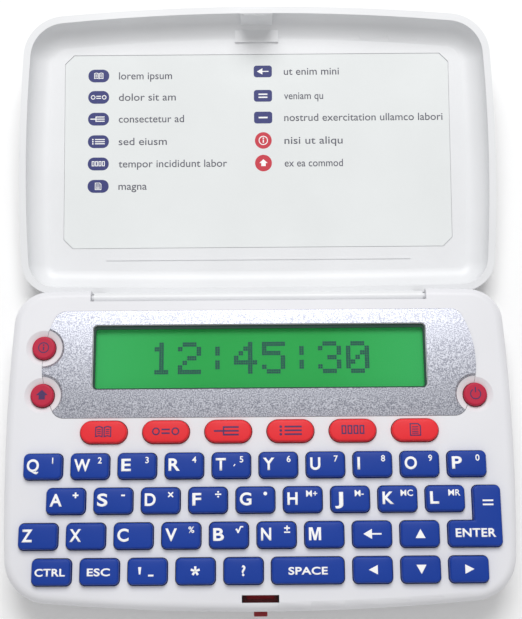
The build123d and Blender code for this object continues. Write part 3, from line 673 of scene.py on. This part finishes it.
pill_signs = {
    "pill_book": book_sign(),
    # like words: two equal bars between two rings
    "pill_words": [
        [circle(1.05, -2.6), circle(0.68, -2.6)], [circle(1.05, 2.6), circle(0.68, 2.6)],
        [box(0, 0.5, 2.2, 0.42)], [box(0, -0.5, 2.2, 0.42)],
    ],
    # forms of a word: a bar that branches into three
    "pill_verbs": [
        [box(-2.6, 0, 2.4, 0.45)], [box(-1.2, 0, 0.42, 2.5)],
        [box(0.9, 1.02, 3.9, 0.45)], [box(0.9, 0, 3.9, 0.45)], [box(0.9, -1.02, 3.9, 0.45)],
    ],
    # a list: three bars with a dot before each
    "pill_list": [
        [box(0.7, y, 4.6, 0.45)] for y in (1.02, 0, -1.02)
    ] + [[circle(0.36, -2.6, y, 16)] for y in (1.02, 0, -1.02)],
    # an index: cards with stepped tabs
    "pill_index": [
        [box(-2.4, 0.1, 1.3, 2.4), box(-2.4, 0.1, 0.6, 1.7)],
        [box(-0.8, 0.1, 1.3, 2.4), box(-0.8, 0.1, 0.6, 1.7)],
        [box(0.8, 0.1, 1.3, 2.4), box(0.8, 0.1, 0.6, 1.7)],
        [box(2.4, 0.1, 1.3, 2.4), box(2.4, 0.1, 0.6, 1.7)],
    ],
    "pill_page": sheet_sign(),
}


def print_sign(node, shapes, swollen=None):
    """Purple print on a red key or button."""
    marks = [flat_shape(outlines) for outlines in shapes]
    ink = finishes["purple_ink"]
    print_on(f"sign_{node}", marks, key_top(node), ink, node, swollen)


for node, shapes in pill_signs.items():
    print_sign(node, shapes, node)

button_signs = {
    "button_info": [
        [circle(1.5), circle(1.22)], [box(0, -0.25, 0.38, 1.0)], [circle(0.24, 0, 0.7, 16)],
    ],
    "button_shift": [[[
        (0, 1.5), (1.6, 0.0), (0.85, 0.0), (0.85, -1.2), (-0.85, -1.2), (-0.85, 0.0), (-1.6, 0.0),
    ]]],
    "button_power": [[arc_band(1.35, 0.3, 120, 420)], [box(0, 1.15, 0.32, 1.5)]],
}
for node, shapes in button_signs.items():
    print_sign(node, shapes)


# --- the display's dots ----------------------------------------------------------------
DOT = 0.64               # pitch of the dots, in millimetres
SIGN_STEP = 12           # dots from one sign to the next
DIGITS = {
    "0": ("01110", "10001", "10011", "10101", "11001", "10001", "01110"),
    "1": ("00100", "01100", "00100", "00100", "00100", "00100", "01110"),
    "2": ("01110", "10001", "00001", "00110", "01000", "10000", "11111"),
    "3": ("01110", "10001", "00001", "00110", "00001", "10001", "01110"),
    "4": ("00010", "00110", "01010", "10010", "11111", "00010", "00010"),
    "5": ("11111", "10000", "11110", "00001", "00001", "10001", "01110"),
    ":": ("00000", "00100", "00100", "00000", "00100", "00100", "00000"),
}


def display_dots(reading, node):
    """A clock reading in double-size dots, as separate squares on the glass."""
    low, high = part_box(node)
    cells = []
    for index, sign in enumerate(reading):
        for row, line in enumerate(DIGITS[sign]):
            for column, lit in enumerate(line):
                if lit == "1":
                    for half in ((0, 0), (1, 0), (0, 1), (1, 1)):
                        cells.append((index * SIGN_STEP + column * 2 + half[0], -row * 2 - half[1]))
    wide = len(reading) * SIGN_STEP - 3
    dots = [box((x - wide / 2) * DOT, (y + 6.5) * DOT, 0.9 * DOT, 0.9 * DOT) for x, y in cells]
    middle = Matrix.Translation(((low.x + high.x) / 2, (low.y + high.y) / 2, high.z))
    print_on("display_dots", [flat_shape(dots)], middle, finishes["dots"], "base")


display_dots("12:45:30", "lcd_module")


# --- painted shade: a dark band round the window, widest at the top, where the opening shades the display ---
window_low, window_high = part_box("screen_window")
window_x = (window_low.x + window_high.x) / 2 / MM
window_y = (window_low.y + window_high.y) / 2 / MM
window_width = (window_high.x - window_low.x) / MM
window_depth = (window_high.y - window_low.y) / MM
# Painted shade: the inner outline sits 0.3 mm low, so the dark band is widest along the top, where
# the opening's rim shades the display.
shade_band = flat_shape([
    soft_box(window_x, window_y, window_width - 0.04, window_depth - 0.04, 1.0),
    soft_box(window_x, window_y - 0.3, window_width - 1.1, window_depth - 1.2, 0.7),
])
SHADE_BAND_HEIGHT = 0.5 * MM
shade_band_place = Matrix.Translation((0, 0, window_high.z + 0.01 * MM))
shade_band = thicken(shade_band, 0)
for vertex in shade_band.data.vertices:
    if vertex.co.z > INK_DEPTH / 2:
        vertex.co.z = SHADE_BAND_HEIGHT
settle(shade_band, "window_painted_shade", shade_band_place, finishes["shade_band"])
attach(shade_band, "base")


# --- print on the guide card ----------------------------------------------------------
LID_LEAN = radians(8)    # the open lid's floor rises this much toward its far end
HINGE = Vector((0, 41.55, 11.7))
CARD_FACE = 21.55        # height of the card's face while the lid is shut


def card_place():
    """From the card's own plane, X right and Y toward the lid's far end, to the open lid."""
    turn = Matrix.Rotation(LID_LEAN, 4, "X")
    below = HINGE.z - CARD_FACE
    start = HINGE * MM + (turn.to_3x3() @ Vector((0, HINGE.y, below))) * MM
    return Matrix.Translation(start) @ turn


LEFT_BADGES = -46.2      # X of the badges' middles, and where the lines start
LEFT_LINES = -40.3
RIGHT_BADGES = 1.75
RIGHT_LINES = 7.9
card = card_place()
left_rows = (25.1, 18.7, 12.2, 5.5, -1.1, -7.7)
left_ends = (-24.8, -23.7, -21.3, -26.3, -8.8, -32.1)
right_rows = (26.1, 18.8, 12.3, 5.5, -1.2)
right_ends = (24.0, 19.3, 54.0, 24.8, 24.8)
badge_marks = [flat_shape([soft_box(LEFT_BADGES, y, 6.1, 3.8, 1.8)]) for y in left_rows]
badge_marks += [flat_shape([soft_box(RIGHT_BADGES, y, 5.3, 3.5, 0.8)]) for y in right_rows[:3]]
print_on("card_badges", badge_marks, card, finishes["navy_ink"], "lid")
dot_marks = [flat_shape([circle(2.45, RIGHT_BADGES, y)]) for y in right_rows[3:]]
print_on("card_dots", dot_marks, card, finishes["red_ink"], "lid")
left_words = (
    "lorem ipsum", "dolor sit am", "consectetur ad", "sed eiusm", "tempor incididunt labor", "magna",
)
right_words = (
    "ut enim mini", "veniam qu", "nostrud exercitation ullamco labori", "nisi ut aliqu",
    "ex ea commod",
)


def filler(words, start, end, y):
    """A line of meaningless filler between two places on the card."""
    line = lettering(words, 2.15 * MM, (end - start) * MM, bold=0.004, left=start * MM)
    return moved(line, 0, y)


lines = [filler(words, LEFT_LINES, end, y)
         for words, end, y in zip(left_words, left_ends, left_rows)]
lines += [filler(words, RIGHT_LINES, end, y)
          for words, end, y in zip(right_words, right_ends, right_rows)]
print_on("card_lines", lines, card, finishes["grey_ink"], "lid")


def tiny(shapes, x, y, scale):
    """A sign's shapes, made small for a badge."""
    return [flat_shape([at(outline, x, y, scale) for outline in outlines]) for outlines in shapes]


raised_card = card @ Matrix.Translation((0, 0, 0.02 * MM))
badge_signs = []
for y, node in zip(left_rows, pill_signs):
    badge_signs += tiny(pill_signs[node], LEFT_BADGES, y, 0.62)
right_signs = (
    ([[back_arrow()]], 0.72),
    ([[box(0, 0.45, 2.6, 0.4)], [box(0, -0.45, 2.6, 0.4)]], 1.0),
    ([[box(0, 0, 2.6, 0.45)]], 1.0),
    (button_signs["button_info"], 0.9),
    (button_signs["button_shift"], 0.75),
)
for y, (shapes, scale) in zip(right_rows, right_signs):
    badge_signs += tiny(shapes, RIGHT_BADGES, y, scale)
print_on("card_signs", badge_signs, raised_card, finishes["white_ink"], "lid")


# --- floor, light and camera ----------------------------------------------------------
def make_floor():
    """A broad pale sheet under the object."""
    bpy.ops.object.select_all(action="DESELECT")
    bpy.ops.mesh.primitive_plane_add(size=6.0, location=(0, 0, 0))
    floor = bpy.context.object
    material, tree, shader = new_finish("floor_white")
    cloud = grain(tree, 3.0)
    low, high = (0.97, 0.97, 0.97, 1), (0.99, 0.99, 0.99, 1)
    colour = ramp_between(tree, cloud.outputs["Fac"], low, high)
    tree.links.new(colour, shader.inputs["Base Color"])
    set_values(shader, {"Roughness": 0.9, "Specular IOR Level": 0.1})
    settle(floor, "floor", Matrix.Identity(4), material)


def make_lamp(name, place, target, size, power):
    """A square lamp, in metres and watts, that faces a target."""
    lamp = bpy.data.lights.new(name, "AREA")
    lamp.shape = "SQUARE"
    lamp.size = size
    lamp.energy = power
    holder = bpy.data.objects.new(name, lamp)
    holder.location = place
    holder.rotation_euler = (Vector(target) - Vector(place)).to_track_quat("-Z", "Y").to_euler()
    bpy.context.scene.collection.objects.link(holder)


def make_world(strength):
    """An even white glow from all sides."""
    world = bpy.data.worlds.new("studio")
    bpy.context.scene.world = world
    world.use_nodes = True
    background = world.node_tree.nodes["Background"]
    background.inputs["Color"].default_value = (1, 1, 1, 1)
    background.inputs["Strength"].default_value = strength


def make_camera():
    """Almost straight above the keys, leaning 14 degrees toward the lid."""
    camera = bpy.data.cameras.new("camera")
    camera.sensor_width = 36.0
    camera.lens = 69.8
    camera.clip_start = 0.01
    holder = bpy.data.objects.new("camera", camera)
    turn = Matrix.Rotation(radians(14), 4, "X") @ Matrix.Rotation(radians(-0.44), 4, "Z")
    holder.matrix_world = Matrix.Translation((0.7 * MM, -42.6 * MM, 335.2 * MM)) @ turn
    bpy.context.scene.collection.objects.link(holder)
    bpy.context.scene.camera = holder


make_floor()
make_lamp("back_light", (0.0, 0.5, 0.75), (0, 0.03, 0), 0.52, 5.2)
make_lamp("front_fill", (-0.1, -0.6, 0.8), (0, 0.03, 0), 0.9, 0.9)
make_world(0.42)
make_camera()
bpy.context.scene.view_settings.view_transform = "Standard"
